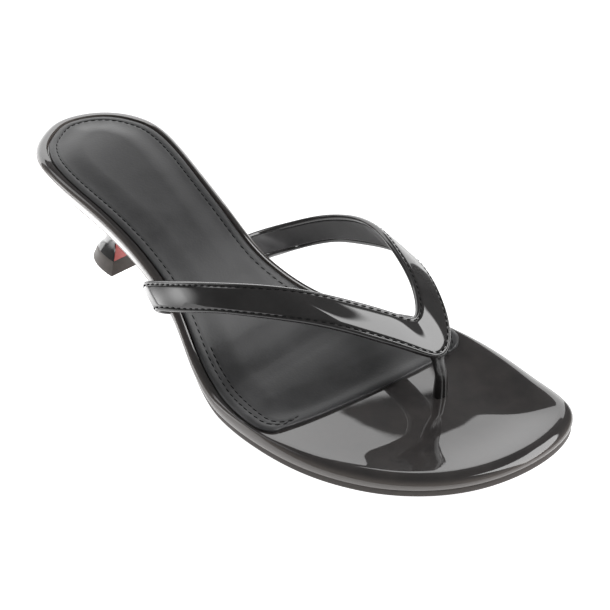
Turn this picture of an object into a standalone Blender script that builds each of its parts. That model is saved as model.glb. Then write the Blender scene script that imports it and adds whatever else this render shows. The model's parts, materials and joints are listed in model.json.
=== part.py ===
"""Thong sandal on a low flared heel: one right shoe, standing on its heel and forefoot.

Axes: +X runs to the toe, +Y to the inner (medial) side, +Z up. Every size below is in
millimetres, measured from the back of the heel at floor level; the finished shoe is then
centred on its own box, so that its origin lies at the middle of its footprint.
"""

import math

import bmesh
import bpy
import numpy as np

MM = 0.001  # metres in a millimetre
GAP = 0.3  # clearance between pieces that touch on the real shoe

# ---------------------------------------------------------------- sole
LENGTH = 240.0
OUTSOLE_THICKNESS = 2.0
STATIONS = 56  # rows of points from heel to toe
ACROSS = 6  # steps of points across a row

# x, inner edge y, outer edge y: one row for each section of the last's footprint
FOOTPRINT = (
    (0.0, 0.8, 0.8),
    (4.0, 14.2, -10.9),
    (12.0, 22.3, -20.3),
    (35.0, 27.6, -28.3),
    (62.0, 23.0, -28.0),
    (90.0, 18.2, -28.6),
    (110.0, 17.9, -31.6),
    (130.0, 28.2, -38.5),
    (155.0, 45.2, -42.0),
    (187.0, 53.0, -38.7),
    (215.0, 50.0, -24.7),
    (233.0, 44.2, -4.2),
    (240.0, 24.0, 24.0),
)
# x, height of the tread: heel seat, arch, flat of the ball, toe spring
TREAD = (
    (0.0, 44.4),
    (25.0, 43.4),
    (50.0, 39.2),
    (80.0, 31.0),
    (95.0, 25.0),
    (110.0, 17.2),
    (130.0, 5.7),
    (145.0, 0.6),
    (158.0, 0.0),
    (206.0, 0.0),
    (240.0, 2.1),
)
# x, thickness of outsole and insole together
SOLE_THICKNESS = (
    (0.0, 9.9),
    (50.0, 9.2),
    (100.0, 8.8),
    (150.0, 7.8),
    (206.0, 7.0),
    (240.0, 6.4),
)
# x, width of the rolled edge, of the flat ledge inside it, depth of the sock's seat, heel cup
RIM = (
    (0.0, 3.0, 1.6, 0.9, 0.0),
    (18.0, 2.9, 1.5, 0.9, 1.3),
    (30.0, 2.7, 0.9, 0.9, 1.6),
    (56.0, 2.5, 0.2, 0.9, 1.6),
    (85.0, 2.6, 0.3, 0.9, 1.6),
    (136.0, 2.6, 0.3, 0.9, 0.4),
    (148.0, 1.9, 0.1, 0.7, 0.0),
    (160.0, 1.0, 0.1, 0.0, 0.0),
    (168.0, 1.1, 0.1, 0.0, 0.0),
    (178.0, 2.1, 0.1, 0.0, 0.0),
    (192.0, 3.2, 0.1, 0.0, 0.0),
    (209.0, 3.8, 0.1, 0.0, 0.0),
    (240.0, 4.8, 0.1, 0.0, 0.0),
)
# x, how far the outsole's upper edge and its lower edge lie inside the footprint
UNDERCUT = (
    (0.0, 1.4, 2.7),
    (25.0, 1.5, 2.4),
    (85.0, 1.5, 1.9),
    (120.0, 1.1, 1.3),
    (160.0, 0.7, 0.6),
    (240.0, 0.6, 0.15),
)
ROLL_HEIGHT = 2.8
SEAT_STEP = 0.4  # width of the slope from the rim down to the sock's seat
ROLL_STEPS = 4

# ---------------------------------------------------------------- sock
SOCK_MARGIN = 0.5  # from the foot of the seat's slope
SOCK_LIFT = 0.45  # the glue under it
SOCK_THICKNESS = 1.4
SOCK_EDGE = 0.6  # skived edge
SOCK_SKIVE = 1.6  # width of the skived edge
SOCK_END_INNER = 181.3
SOCK_END_OUTER = 170.6
SOCK_BOW = 1.6  # how far the front edge swells forward between its corners
SOCK_CORNERS = (6.5, 5.0)  # how far the inner and outer front corners turn in
SOCK_CORNER_START = 0.965  # share of the sock's length behind the corners
SOCK_ROWS = 46  # rows of points behind the corners
SOCK_CORNER_ROWS = 6

# ---------------------------------------------------------------- strap
STRAP_THICKNESS = 2.2
STRAP_CROWN = 0.7  # rise of the strap's middle over its edges
CROWN_START = 0.14  # share of the strap's length over which the crown grows, from flat anchors
STRAP_EDGE = 0.06  # share of the width taken by each rounded edge
STRAP_STATIONS = 84
STRAP_ACROSS = 4
POCKET_CLEARANCE = 0.6
POCKET_TUCK = 2.0  # how far a pocket reaches behind the strap's end
POCKET_MOUTH = 4.0  # how far it reaches out past the rim
# rear edge x, y, z and front edge x, y, z: sections from the outer anchor over the V to the inner one
STRAP = (
    (97.0, -21.0, 27.8, 109.0, -22.5, 21.9),
    (96.6, -27.8, 28.2, 108.8, -29.8, 22.7),
    (96.1, -32.2, 31.7, 108.3, -35.8, 26.5),
    (108.2, -31.5, 37.7, 120.4, -34.1, 31.2),
    (121.6, -29.0, 42.5, 133.8, -29.9, 35.4),
    (133.6, -24.1, 45.2, 145.0, -24.8, 37.0),
    (144.3, -16.8, 45.8, 155.4, -18.2, 37.0),
    (153.5, -7.9, 43.9, 164.6, -11.7, 36.2),
    (162.0, 1.0, 40.4, 173.0, -5.0, 34.1),
    (171.2, 9.9, 36.3, 181.6, 2.4, 30.6),
    (177.6, 15.5, 33.3, 189.7, 10.3, 26.3),
    (180.2, 18.7, 31.7, 194.7, 19.2, 22.1),
    (179.3, 22.4, 31.9, 191.6, 27.1, 24.1),
    (169.0, 31.1, 35.3, 179.8, 36.4, 29.3),
    (152.0, 39.5, 38.7, 163.7, 44.4, 32.1),
    (139.3, 44.9, 39.2, 150.4, 47.8, 31.3),
    (128.0, 47.7, 37.8, 138.3, 49.7, 28.1),
    (118.0, 47.5, 35.3, 124.5, 50.9, 23.4),
    (108.5, 43.7, 32.3, 111.8, 49.1, 19.5),
    (100.9, 34.9, 30.0, 103.6, 40.0, 17.2),
    (96.3, 25.4, 29.2, 103.3, 30.4, 18.7),
    (94.6, 18.4, 28.9, 105.9, 21.0, 22.4),
    (94.5, 13.8, 29.0, 106.5, 14.8, 23.4),
    (94.7, 7.0, 29.0, 106.7, 7.0, 23.4),
)

# ---------------------------------------------------------------- toe post
POST_X, POST_Y = 194.5, 19.8
POST_DEPTH = 2.0  # how far it is set into the insole
POST_TOP = 20.4
POST_SLOPE = 0.66  # its top follows the underside of the strap
# share of its height, half length, half width: a rolled leather tab, pinched in the middle
POST = (
    (0.0, 2.4, 2.9),
    (0.2, 2.3, 2.8),
    (0.55, 2.0, 2.5),
    (0.85, 2.1, 2.6),
    (1.0, 2.4, 2.9),
)
POST_SIDES = 12

# ---------------------------------------------------------------- heel
TIP_HEIGHT = 4.4
# height, breast x, half width, depth back from the breast
HEEL = (
    (0.0, 43.1, 13.1, 23.9),
    (4.7, 40.1, 9.3, 18.5),
    (8.5, 37.6, 6.2, 12.4),
    (13.0, 35.7, 4.2, 8.5),
    (19.0, 34.8, 3.3, 7.2),
    (26.0, 35.4, 3.5, 7.2),
    (32.0, 36.6, 4.2, 7.9),
    (37.0, 38.2, 8.0, 14.0),
    (42.0, 40.5, 16.0, 32.0),
)
HEEL_SQUARENESS = 0.86  # 1 is a half ellipse, less is boxier
HEEL_LEVELS = (4.7, 6.5, 8.5, 10.5, 13.0, 16.0, 19.0, 22.5, 26.0, 29.0, 32.0, 34.5, 37.0, 39.0)
HEEL_SEAT = 41.5  # the row of HEEL that the top, shaped to the tread, is taken from
HEEL_ROWS = 9
BREAST_THICKNESS = 0.7
BREAST_LIP = 0.35  # black cover that shows beside the breast panel
BREAST_SIDE_GAP = 0.4
TIP_CHAMFER = 0.4

# name: base colour (sRGB hex), roughness, coat
MATERIALS = {
    "patent_leather": ("1B1A1C", 0.12, 1.0),
    "matte_leather": ("3A3A3C", 0.55, 0.0),
    "sole_leather": ("3B3836", 0.50, 0.0),
    "coral_leather": ("C4574F", 0.30, 0.3),
    "heel_rubber": ("4A4644", 0.60, 0.0),
}


# ================================================================ curves
def spline(knots, values, closed=False):
    """A cubic spline through values at knots: natural at its ends, or periodic when closed."""
    knots, values = np.asarray(knots, float), np.asarray(values, float)
    step = np.diff(knots)
    slope = (np.diff(values, axis=0).T / step).T
    count = len(step)
    size = count if closed else count + 1
    system, right = np.eye(size), np.zeros((size, *values.shape[1:]))
    for i in range(0 if closed else 1, count):
        before, after = step[i - 1], step[i]
        system[i, i] = 2 * (before + after)
        system[i, i - 1] = before
        system[i, (i + 1) % size] = after
        right[i] = 6 * (slope[i] - slope[i - 1])
    bend = np.linalg.solve(system, right)
    if closed:
        bend = np.concatenate([bend, bend[:1]])

    def at(where):
        if closed:
            where = knots[0] + (where - knots[0]) % (knots[-1] - knots[0])
        i = int(np.clip(np.searchsorted(knots, where) - 1, 0, count - 1))
        b = (where - knots[i]) / step[i]
        a = 1 - b
        curve = ((a**3 - a) * bend[i] + (b**3 - b) * bend[i + 1]) * step[i] ** 2 / 6
        return a * values[i] + b * values[i + 1] + curve

    return at


def profile(table, column=1):
    """A curve through a table's rows that never overshoots them, so that a flat stays flat."""
    knots = np.array([row[0] for row in table])
    values = np.array([row[column] for row in table])
    step = np.diff(knots)
    slope = np.diff(values) / step
    rate = np.zeros(len(knots))
    rate[0], rate[-1] = slope[0], slope[-1]
    for i in range(1, len(slope)):
        if slope[i - 1] * slope[i] > 0:
            before, after = 2 * step[i] + step[i - 1], step[i] + 2 * step[i - 1]
            rate[i] = (before + after) / (before / slope[i - 1] + after / slope[i])

    def at(x):
        x = min(max(x, knots[0]), knots[-1])
        i = int(np.clip(np.searchsorted(knots, x) - 1, 0, len(step) - 1))
        t = (x - knots[i]) / step[i]
        start = (1 + 2 * t) * (1 - t) ** 2 * values[i] + t * (1 - t) ** 2 * step[i] * rate[i]
        end = t * t * (3 - 2 * t) * values[i + 1] + t * t * (t - 1) * step[i] * rate[i + 1]
        return start + end

    return at


def share_of(x):
    """Where x lies between heel and toe, 0 to 1, stretched at both ends so that they come out round."""
    return math.acos(1 - 2 * x / LENGTH) / math.pi


def x_of(share):
    return LENGTH * (1 - math.cos(math.pi * share)) / 2


# The footprint as one closed curve: up the inner side from share 0 to 1, back down the outer side to 2.
INNER_SIDE = [(share_of(x), inner) for x, inner, _ in FOOTPRINT]
OUTER_SIDE = [(2 - share_of(x), outer) for x, _, outer in reversed(FOOTPRINT[:-1])]
outline_y = spline(*zip(*(INNER_SIDE + OUTER_SIDE)), closed=True)
tread = profile(TREAD)
sole_thickness = profile(SOLE_THICKNESS)
roll_width, ledge_width, seat_depth, cup_depth = (profile(RIM, column) for column in (1, 2, 3, 4))
upper_undercut, lower_undercut = (profile(UNDERCUT, column) for column in (1, 2))


def footprint_edge(share, inner, inset=0.0):
    """The point of the footprint's edge at a share of its length, moved in by inset."""
    turn = share if inner else 2 - share
    nudge = 1e-4
    x, y = x_of(share), outline_y(turn)
    ahead = np.array([x_of(turn + nudge), outline_y(turn + nudge)])
    behind = np.array([x_of(turn - nudge), outline_y(turn - nudge)])
    along = (ahead - behind) / np.linalg.norm(ahead - behind)
    return np.array([x + along[1] * inset, y - along[0] * inset])


def sole_top(x):
    return tread(x) + sole_thickness(x)


def ledge_end(x):
    """How far inside the footprint the flat ledge stops and the slope to the sock's seat starts."""
    return roll_width(x) + ledge_width(x)


def seat_height(x, y):
    """The insole's upper face where the sock lies: a shallow seat, cupped under the heel."""
    share = share_of(min(max(x, 0.5), LENGTH - 0.5))
    inner, outer = outline_y(share), outline_y(2 - share)
    off_centre = (2 * y - inner - outer) / (inner - outer)
    return sole_top(x) - seat_depth(x) - cup_depth(x) * max(0.0, 1 - off_centre**2)


# ================================================================ meshes
def add_object(name, material, bm):
    bmesh.ops.remove_doubles(bm, verts=bm.verts, dist=1e-5 * MM)
    bmesh.ops.dissolve_degenerate(bm, edges=bm.edges, dist=1e-5 * MM)
    bmesh.ops.recalc_face_normals(bm, faces=bm.faces)
    mesh = bpy.data.meshes.new(name)
    bm.to_mesh(mesh)
    bm.free()
    mesh.shade_smooth()
    mesh.set_sharp_from_angle(angle=math.radians(35))
    mesh.materials.append(bpy.data.materials[material])
    obj = bpy.data.objects.new(name, mesh)
    bpy.data.collections["sandal"].objects.link(obj)
    return obj


def grid_rim(grid):
    """The outer points of a grid of points, once round."""
    rows, columns = len(grid) - 1, len(grid[0]) - 1
    up = [grid[i][columns] for i in range(rows)]
    over = [grid[rows][j] for j in range(columns, 0, -1)]
    down = [grid[i][0] for i in range(rows, 0, -1)]
    back = [grid[0][j] for j in range(columns)]
    return up + over + down + back


def stacked_solid(name, material, layers):
    """A closed solid: the first and last layers are its faces, and the layers' rims are its side."""
    bm = bmesh.new()

    def quads(first, second):
        for a, b, c, d in zip(first, first[1:], second[1:], second):
            bm.faces.new((a, b, c, d))

    def vertices(points):
        return [bm.verts.new([MM * float(value) for value in point]) for point in points]

    for layer in (layers[0], layers[-1]):
        rows = [vertices(row) for row in layer]
        for first, second in zip(rows, rows[1:]):
            quads(first, second)
    rims = [vertices(grid_rim(layer)) for layer in layers]
    for first, second in zip(rims, rims[1:]):
        quads([*first, first[0]], [*second, second[0]])
    return add_object(name, material, bm)


def lofted_solid(name, material, rings):
    """A closed solid through rings of points, capped at both ends."""
    bm = bmesh.new()
    rings = [[bm.verts.new([MM * float(value) for value in point]) for point in ring] for ring in rings]
    for first, second in zip(rings, rings[1:]):
        for j in range(len(first)):
            k = (j + 1) % len(first)
            bm.faces.new((first[j], first[k], second[k], second[j]))
    for end in (rings[0], rings[-1]):
        half = len(end) // 2
        for j in range(half - 1):
            bm.faces.new((end[j], end[j + 1], end[-2 - j], end[-1 - j]))
    return add_object(name, material, bm)


def add_cutter(name, size, location, pitch=0.0):
    """A box that cuts a pocket, sloped along X by pitch."""
    bpy.ops.mesh.primitive_cube_add(size=1)
    box = bpy.context.object
    box.name = name
    box.scale = [MM * value for value in size]
    box.location = [MM * value for value in location]
    box.rotation_euler.y = pitch
    for collection in list(box.users_collection):
        collection.objects.unlink(box)
    bpy.data.collections["cutters"].objects.link(box)
    box.hide_render = True
    box.display_type = "WIRE"
    return box


def cut(obj, cutter):
    modifier = obj.modifiers.new(cutter.name, "BOOLEAN")
    modifier.operation = "DIFFERENCE"
    modifier.solver = "EXACT"
    modifier.object = cutter


# ================================================================ sole
def footprint_layer(inset, height):
    """Rows of points across the footprint from heel to toe; inset and height may vary along it."""
    rows = []
    for i in range(STATIONS + 1):
        share = i / STATIONS
        amount = inset(x_of(share))
        inner = footprint_edge(share, True, amount)
        outer = footprint_edge(share, False, amount)
        steps = [outer + (inner - outer) * j / ACROSS for j in range(ACROSS + 1)]
        rows.append([(x, y, height(x, y)) for x, y in steps])
    return rows


def make_outsole():
    def layer(lower_share, extra, rise):
        def inset(x):
            return upper_undercut(x) + (lower_undercut(x) - upper_undercut(x)) * lower_share + extra

        return footprint_layer(inset, lambda x, y: tread(x) + rise)

    top = OUTSOLE_THICKNESS
    layers = [layer(1.0, 0.15, 0.0), layer(0.9, 0.0, 0.2), layer(0.05, 0.0, top - 0.1), layer(0.0, 0.2, top)]
    return stacked_solid("outsole", "sole_leather", layers)


def make_insole_platform():
    under = OUTSOLE_THICKNESS + GAP

    def wall(share, rise):
        """A layer of the side wall: share of the undercut, and of the height below the rolled edge."""

        def height(x, y):
            low = tread(x) + under
            return low + (sole_top(x) - ROLL_HEIGHT - low) * rise

        return footprint_layer(lambda x: upper_undercut(x) * share, height)

    def rolled(angle):
        """A layer of the rolled edge, turning from the wall at 0 to the flat top at 90 degrees."""

        def inset(x):
            return roll_width(x) * (1 - math.cos(angle))

        return footprint_layer(inset, lambda x, y: sole_top(x) - ROLL_HEIGHT * (1 - math.sin(angle)))

    layers = [wall(1.0, 0.0), wall(0.7, 0.08), wall(0.15, 0.6)]
    layers += [rolled(math.pi / 2 * i / ROLL_STEPS) for i in range(ROLL_STEPS + 1)]
    layers.append(footprint_layer(ledge_end, lambda x, y: sole_top(x)))
    layers.append(footprint_layer(lambda x: ledge_end(x) + SEAT_STEP, seat_height))
    platform = stacked_solid("insole_platform", "patent_leather", layers)

    for name, row, beyond in (("outer_pocket", STRAP[0], STRAP[2]), ("inner_pocket", STRAP[-1], STRAP[-3])):
        rear, front = np.array(row[:3]), np.array(row[3:])
        run = front - rear
        middle = (rear + front) / 2
        length = np.hypot(run[0], run[2]) + 7 * POCKET_CLEARANCE
        height = STRAP_THICKNESS + STRAP_CROWN + 6 * POCKET_CLEARANCE
        outward = math.copysign(1.0, beyond[1] - middle[1])
        tucked = middle[1] - outward * POCKET_TUCK
        mouth = beyond[1] + outward * POCKET_MOUTH
        size = (length, abs(mouth - tucked), height)
        centre = (middle[0], (tucked + mouth) / 2, middle[2] - POCKET_CLEARANCE)
        cut(platform, add_cutter(name, size, centre, math.atan2(-run[2], run[0])))
    slot_floor = sole_top(POST_X) - POST_DEPTH - GAP
    slot_size = [2 * (half + GAP) for half in POST[0][1:]] + [4 * POST_DEPTH]
    cut(platform, add_cutter("post_slot", slot_size, (POST_X, POST_Y, slot_floor + 2 * POST_DEPTH)))


def make_insole_sock():
    """The padded lining under the foot, from the heel to the ball, with a skived edge."""
    rows = [(SOCK_CORNER_START * i / SOCK_ROWS, 0.0) for i in range(SOCK_ROWS)]
    for i in range(SOCK_CORNER_ROWS + 1):
        angle = math.pi / 2 * i / SOCK_CORNER_ROWS
        rows.append((SOCK_CORNER_START + (1 - SOCK_CORNER_START) * math.sin(angle), 1 - math.cos(angle)))

    def edge(share, turned, inner, extra):
        """A point of the sock's side edge; at the front corners it turns in on an elliptic arc."""
        along = share * share_of(SOCK_END_INNER if inner else SOCK_END_OUTER)
        side_inset = ledge_end(x_of(along)) + SEAT_STEP + SOCK_MARGIN
        return footprint_edge(along, inner, side_inset + extra + turned * SOCK_CORNERS[0 if inner else 1])

    def layer(extra, rise):
        points = []
        for share, turned in rows:
            inner, outer = edge(share, turned, True, extra), edge(share, turned, False, extra)
            bow = SOCK_BOW * share**6 - extra * share**30
            row = []
            for j in range(ACROSS + 1):
                t = j / ACROSS
                x, y = outer + (inner - outer) * t
                x += bow * 4 * t * (1 - t) if 0 < j < ACROSS else 0
                row.append((x, y, seat_height(x, y) + SOCK_LIFT + rise))
            points.append(row)
        return points

    layers = [layer(0.2, 0.0), layer(0.0, 0.2), layer(0.0, SOCK_EDGE), layer(SOCK_SKIVE, SOCK_THICKNESS)]
    return stacked_solid("insole_sock", "matte_leather", layers)


# ================================================================ strap
def make_thong_strap():
    """One band from anchor to anchor that turns at the V, with rounded edges and a slight crown."""
    table = np.array(STRAP)
    middle = (table[:, :3] + table[:, 3:]) / 2
    knots = np.concatenate([[0], np.cumsum(np.sqrt(np.linalg.norm(np.diff(middle, axis=0), axis=1)))])
    band = spline(knots, table)
    half = STRAP_THICKNESS / 2
    shares = [STRAP_EDGE + (1 - 2 * STRAP_EDGE) * j / STRAP_ACROSS for j in range(STRAP_ACROSS + 1)]

    def line(where, share):
        section = band(min(max(where, knots[0]), knots[-1]))
        return section[:3] + (section[3:] - section[:3]) * share

    def face_normal(where, share):
        nudge = 0.02
        along = line(where + nudge, share) - line(where - nudge, share)
        across = line(where, 1) - line(where, 0)
        normal = np.cross(across, along)
        return normal / np.linalg.norm(normal)

    rings = []
    for i in range(STRAP_STATIONS + 1):
        where = knots[-1] * i / STRAP_STATIONS
        from_anchor = min(i, STRAP_STATIONS - i) / STRAP_STATIONS
        crown = STRAP_CROWN * min(1, from_anchor / CROWN_START)
        upper, lower = [], []
        for share in shares:
            normal = face_normal(where, share)
            base = line(where, share) + normal * crown * 4 * share * (1 - share)
            upper.append(base + normal * half)
            lower.append(base - normal * half)
        rings.append([line(where, 0), *upper, line(where, 1), *reversed(lower)])
    return lofted_solid("thong_strap", "patent_leather", rings)


def make_toe_post():
    """The rolled tab from its slot in the insole up to the underside of the strap's V."""
    foot = sole_top(POST_X) - POST_DEPTH
    rings = []
    for share, half_length, half_width in POST:
        ring = []
        for i in range(POST_SIDES):
            angle = 2 * math.pi * i / POST_SIDES
            x = POST_X + half_length * math.cos(angle)
            y = POST_Y + half_width * math.sin(angle)
            top = POST_TOP - POST_SLOPE * (x - POST_X)
            ring.append((x, y, foot + (top - foot) * share))
        rings.append(ring)
    return lofted_solid("toe_post", "patent_leather", rings)


# ================================================================ heel
breast_x, heel_half_width, heel_depth = (profile(HEEL, column) for column in (1, 2, 3))


def heel_layer(level, height=None, recess=0.0, shrink=0.0):
    """Rows of points across the heel from its flat breast to its round back, at one level of HEEL.

    recess sets the middle of the breast back, between two lips; shrink draws the whole edge in.
    """
    front = breast_x(level) - shrink
    half = heel_half_width(level) - shrink
    depth = heel_depth(level) - 2 * shrink
    lip = BREAST_LIP / half
    places = (-1, lip - 1, lip - 0.995, 0, 0.995 - lip, 1 - lip, 1)
    rows = []
    for i in range(HEEL_ROWS + 1):
        angle = math.pi / 2 * i / HEEL_ROWS
        back = depth * math.sin(angle) ** HEEL_SQUARENESS
        width = half * max(0.0, math.cos(angle)) ** HEEL_SQUARENESS if i < HEEL_ROWS else 0.0
        row = []
        for j, place in enumerate(places):
            x = front - back - (recess if i == 0 and 1 < j < len(places) - 2 else 0.0)
            z = level if height is None else height(x)
            row.append((x, width * place, z))
        rows.append(row)
    return rows


def make_heel():
    def seat(x):
        return tread(x) - GAP

    recess = BREAST_THICKNESS + GAP
    layers = [heel_layer(level, recess=recess) for level in HEEL_LEVELS]
    layers.append(heel_layer(HEEL_SEAT, seat, recess))
    stacked_solid("heel_block", "patent_leather", layers)

    tip = [
        heel_layer(0.0, shrink=TIP_CHAMFER),
        heel_layer(TIP_CHAMFER),
        heel_layer(TIP_HEIGHT / 2),
        heel_layer(TIP_HEIGHT),
    ]
    stacked_solid("heel_tip", "heel_rubber", tip)

    def panel_layer(level, height=None):
        half = heel_half_width(level) - BREAST_LIP - BREAST_SIDE_GAP
        rows = []
        for x in (breast_x(level), breast_x(level) - BREAST_THICKNESS):
            z = level if height is None else height(x)
            rows.append([(x, half * place, z) for place in (-1, -0.33, 0.33, 1)])
        return rows

    panel = [panel_layer(level) for level in HEEL_LEVELS]
    panel.append(panel_layer(HEEL_SEAT, seat))
    stacked_solid("heel_breast", "coral_leather", panel)


# ================================================================ scene
def clear_scene():
    for obj in list(bpy.data.objects):
        bpy.data.objects.remove(obj, do_unlink=True)
    for name in ("sandal", "cutters"):
        bpy.context.scene.collection.children.link(bpy.data.collections.new(name))
    bpy.data.collections["cutters"].hide_render = True


def make_materials():
    for name, (colour, roughness, coat) in MATERIALS.items():
        material = bpy.data.materials.new(name)
        material.use_nodes = True
        shader = material.node_tree.nodes["Principled BSDF"]
        channels = [int(colour[i : i + 2], 16) / 255 for i in (0, 2, 4)]
        linear = [c / 12.92 if c <= 0.04045 else ((c + 0.055) / 1.055) ** 2.4 for c in channels]
        shader.inputs["Base Color"].default_value = (*linear, 1)
        shader.inputs["Roughness"].default_value = roughness
        shader.inputs["Coat Weight"].default_value = coat


def centre_on_footprint():
    """Moves every piece so that the origin is the middle of the shoe's box, at floor level."""
    solids = bpy.data.collections["sandal"].objects
    corners = np.array([corner for obj in solids for corner in obj.bound_box])
    middle = (corners.min(axis=0) + corners.max(axis=0)) / 2
    for obj in bpy.data.objects:
        obj.location.x -= middle[0]
        obj.location.y -= middle[1]


def main():
    clear_scene()
    make_materials()
    make_outsole()
    make_insole_platform()
    make_insole_sock()
    make_thong_strap()
    make_toe_post()
    make_heel()
    centre_on_footprint()


main()
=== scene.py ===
"""The looks of one right thong sandal in black patent leather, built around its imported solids.

Every piece is worked out in millimetres from the back of the heel at floor level, with +X to the
toe, +Y to the inner side and +Z up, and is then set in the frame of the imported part.
"""

import json
import math

import bmesh
import bpy
import numpy as np
from mathutils import Matrix, Vector
from mathutils.kdtree import KDTree

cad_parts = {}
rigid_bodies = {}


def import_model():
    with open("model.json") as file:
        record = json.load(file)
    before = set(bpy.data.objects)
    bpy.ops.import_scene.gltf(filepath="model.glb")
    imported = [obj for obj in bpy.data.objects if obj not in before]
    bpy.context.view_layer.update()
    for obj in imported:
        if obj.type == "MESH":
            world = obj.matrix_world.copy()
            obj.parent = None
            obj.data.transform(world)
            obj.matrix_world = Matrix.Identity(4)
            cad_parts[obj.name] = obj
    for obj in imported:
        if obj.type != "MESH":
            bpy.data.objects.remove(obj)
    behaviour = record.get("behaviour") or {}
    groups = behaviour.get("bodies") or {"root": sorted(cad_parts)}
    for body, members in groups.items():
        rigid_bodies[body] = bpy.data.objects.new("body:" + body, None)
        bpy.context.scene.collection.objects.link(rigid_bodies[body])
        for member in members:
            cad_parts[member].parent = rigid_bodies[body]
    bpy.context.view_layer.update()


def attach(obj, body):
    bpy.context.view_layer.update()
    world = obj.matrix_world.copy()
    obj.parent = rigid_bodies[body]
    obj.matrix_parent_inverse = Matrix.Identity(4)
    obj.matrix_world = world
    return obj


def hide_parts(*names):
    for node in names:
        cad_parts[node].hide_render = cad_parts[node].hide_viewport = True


MM = 0.001  # metres in a millimetre
FRAME_MIDDLE = (120.0, 5.468, 0.0)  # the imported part's origin, measured from the back of the heel

LENGTH = 240.0
OUTSOLE_THICKNESS = 2.0

# x, inner edge y, outer edge y: one row for each section of the last's footprint
FOOTPRINT = (
    (0.0, 0.8, 0.8),
    (4.0, 14.2, -10.9),
    (12.0, 22.3, -20.3),
    (35.0, 27.6, -28.3),
    (62.0, 23.0, -28.0),
    (90.0, 18.2, -28.6),
    (110.0, 17.9, -31.6),
    (130.0, 28.2, -38.5),
    (155.0, 45.2, -42.0),
    (187.0, 53.0, -38.7),
    (215.0, 50.0, -24.7),
    (233.0, 44.2, -4.2),
    (240.0, 24.0, 24.0),
)
# x, height of the tread: heel seat, arch, flat of the ball, toe spring
TREAD = (
    (0.0, 44.4),
    (25.0, 43.4),
    (50.0, 39.2),
    (80.0, 31.0),
    (95.0, 25.0),
    (110.0, 17.2),
    (130.0, 5.7),
    (145.0, 0.6),
    (158.0, 0.0),
    (206.0, 0.0),
    (240.0, 2.1),
)
# x, thickness of outsole and insole together
SOLE_THICKNESS = (
    (0.0, 9.9),
    (50.0, 9.2),
    (100.0, 8.8),
    (150.0, 7.8),
    (206.0, 7.0),
    (240.0, 6.4),
)
# x, width of the rolled edge, of the flat ledge inside it, depth of the sock's seat, heel cup
RIM = (
    (0.0, 3.0, 1.6, 0.9, 0.0),
    (18.0, 2.9, 1.5, 0.9, 1.3),
    (30.0, 2.7, 0.9, 0.9, 1.6),
    (56.0, 2.5, 0.2, 0.9, 1.6),
    (85.0, 2.6, 0.3, 0.9, 1.6),
    (136.0, 2.6, 0.3, 0.9, 0.4),
    (148.0, 1.9, 0.1, 0.7, 0.0),
    (160.0, 1.0, 0.1, 0.0, 0.0),
    (168.0, 1.1, 0.1, 0.0, 0.0),
    (178.0, 2.1, 0.1, 0.0, 0.0),
    (192.0, 3.2, 0.1, 0.0, 0.0),
    (209.0, 3.8, 0.1, 0.0, 0.0),
    (240.0, 4.8, 0.1, 0.0, 0.0),
)
# x, how far the outsole's upper edge and its lower edge lie inside the footprint
UNDERCUT = (
    (0.0, 1.4, 2.7),
    (25.0, 1.5, 2.4),
    (85.0, 1.5, 1.9),
    (120.0, 1.1, 1.3),
    (160.0, 0.7, 0.6),
    (240.0, 0.6, 0.15),
)
ROLL_HEIGHT = 2.8
SEAT_STEP = 0.4  # width of the slope from the rim down to the sock's seat
SOLE_JOINT = 0.28  # the glued joint between the outsole and the insole board
# share of the height up to the rolled edge, share of the undercut left there
WALL = (
    (0.0, 1.0),
    (0.08, 0.7),
    (0.6, 0.15),
    (1.0, 0.0),
)
WALL_CROWDING = 1.3  # above 1 the wall's points crowd towards the outsole
# share of the undercut, further inset, height over the tread: the outsole's edge up to its side
SOLE_FOOT = (
    (1.0, 0.3, 0.0),
    (1.0, 0.1, 0.07),
    (0.95, 0.0, 0.25),
    (0.6, 0.0, 0.9),
)
# the same from its side to its top, with the height below the top
SOLE_HEAD = (
    (0.2, 0.0, 0.35),
    (0.05, 0.06, 0.12),
    (0.0, 0.3, 0.0),
)
WELD = 2e-4  # points closer together than this are made one
STATIONS = 200  # rows of points from heel to toe
ACROSS = 18  # steps of points across a row
ROLL_STEPS = 12
WALL_STEPS = 12

# ---------------------------------------------------------------- toe
TOE_DISH = 1.76  # how far the insole is dished inside the toe's rolled edge
TOE_DISH_RUN = 26.7  # width over which it falls away
TOE_DISH_START = (150.0, 172.0)  # x over which the dish begins
TOE_MIDDLE = (195.0, 5.0)
TOE_TILT = -0.0154  # rise of its middle a millimetre towards the inner side
TOE_BENDS = (-0.00079, -0.00023)  # bend of its middle lengthwise and across
TOE_BLEND = 18.3  # width over which the tilt and the bends come in
TOE_EDGE_START = 0.55  # share of the shoe's length from which the rolled edge is measured
TOE_EDGE_STEPS = 120

# ---------------------------------------------------------------- sock
SOCK_MARGIN = 0.5  # from the foot of the seat's slope
SOCK_GLUE = 0.1
SOCK_EDGE = 0.7  # skived edge
SOCK_SKIVE = 2.8  # width of the skived edge
SOCK_FACE = 1.3  # thickness at its flat margin
SOCK_PAD = 1.1  # how far the padding rises over the margin
SOCK_PAD_RUN = 11.0  # width over which the padding rises
SOCK_FRONT_BAND = 4.2  # unpadded strip behind the front edge
SOCK_END_INNER = 181.3
SOCK_END_OUTER = 170.6
SOCK_BOW = 1.6  # how far the front edge swells forward between its corners
SOCK_BOW_POWER = 6  # how suddenly the swell comes in towards the front
SOCK_CORNERS = (6.5, 5.0)  # how far the inner and outer front corners turn in
SOCK_CORNER_START = 0.965  # share of the sock's length behind the corners
SOCK_SEAM = 3.1  # from the sock's edge to its seam
SOCK_SEAM_DEPTH = 0.13
SOCK_SEAM_WIDTH = 0.55
SOCK_SEAM_TURN = 1.6  # how much more than the edge the seam turns in at the front corners
SOCK_SECOND_SEAM = 2.2  # how far the second row of stitches lies inside the first
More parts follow.
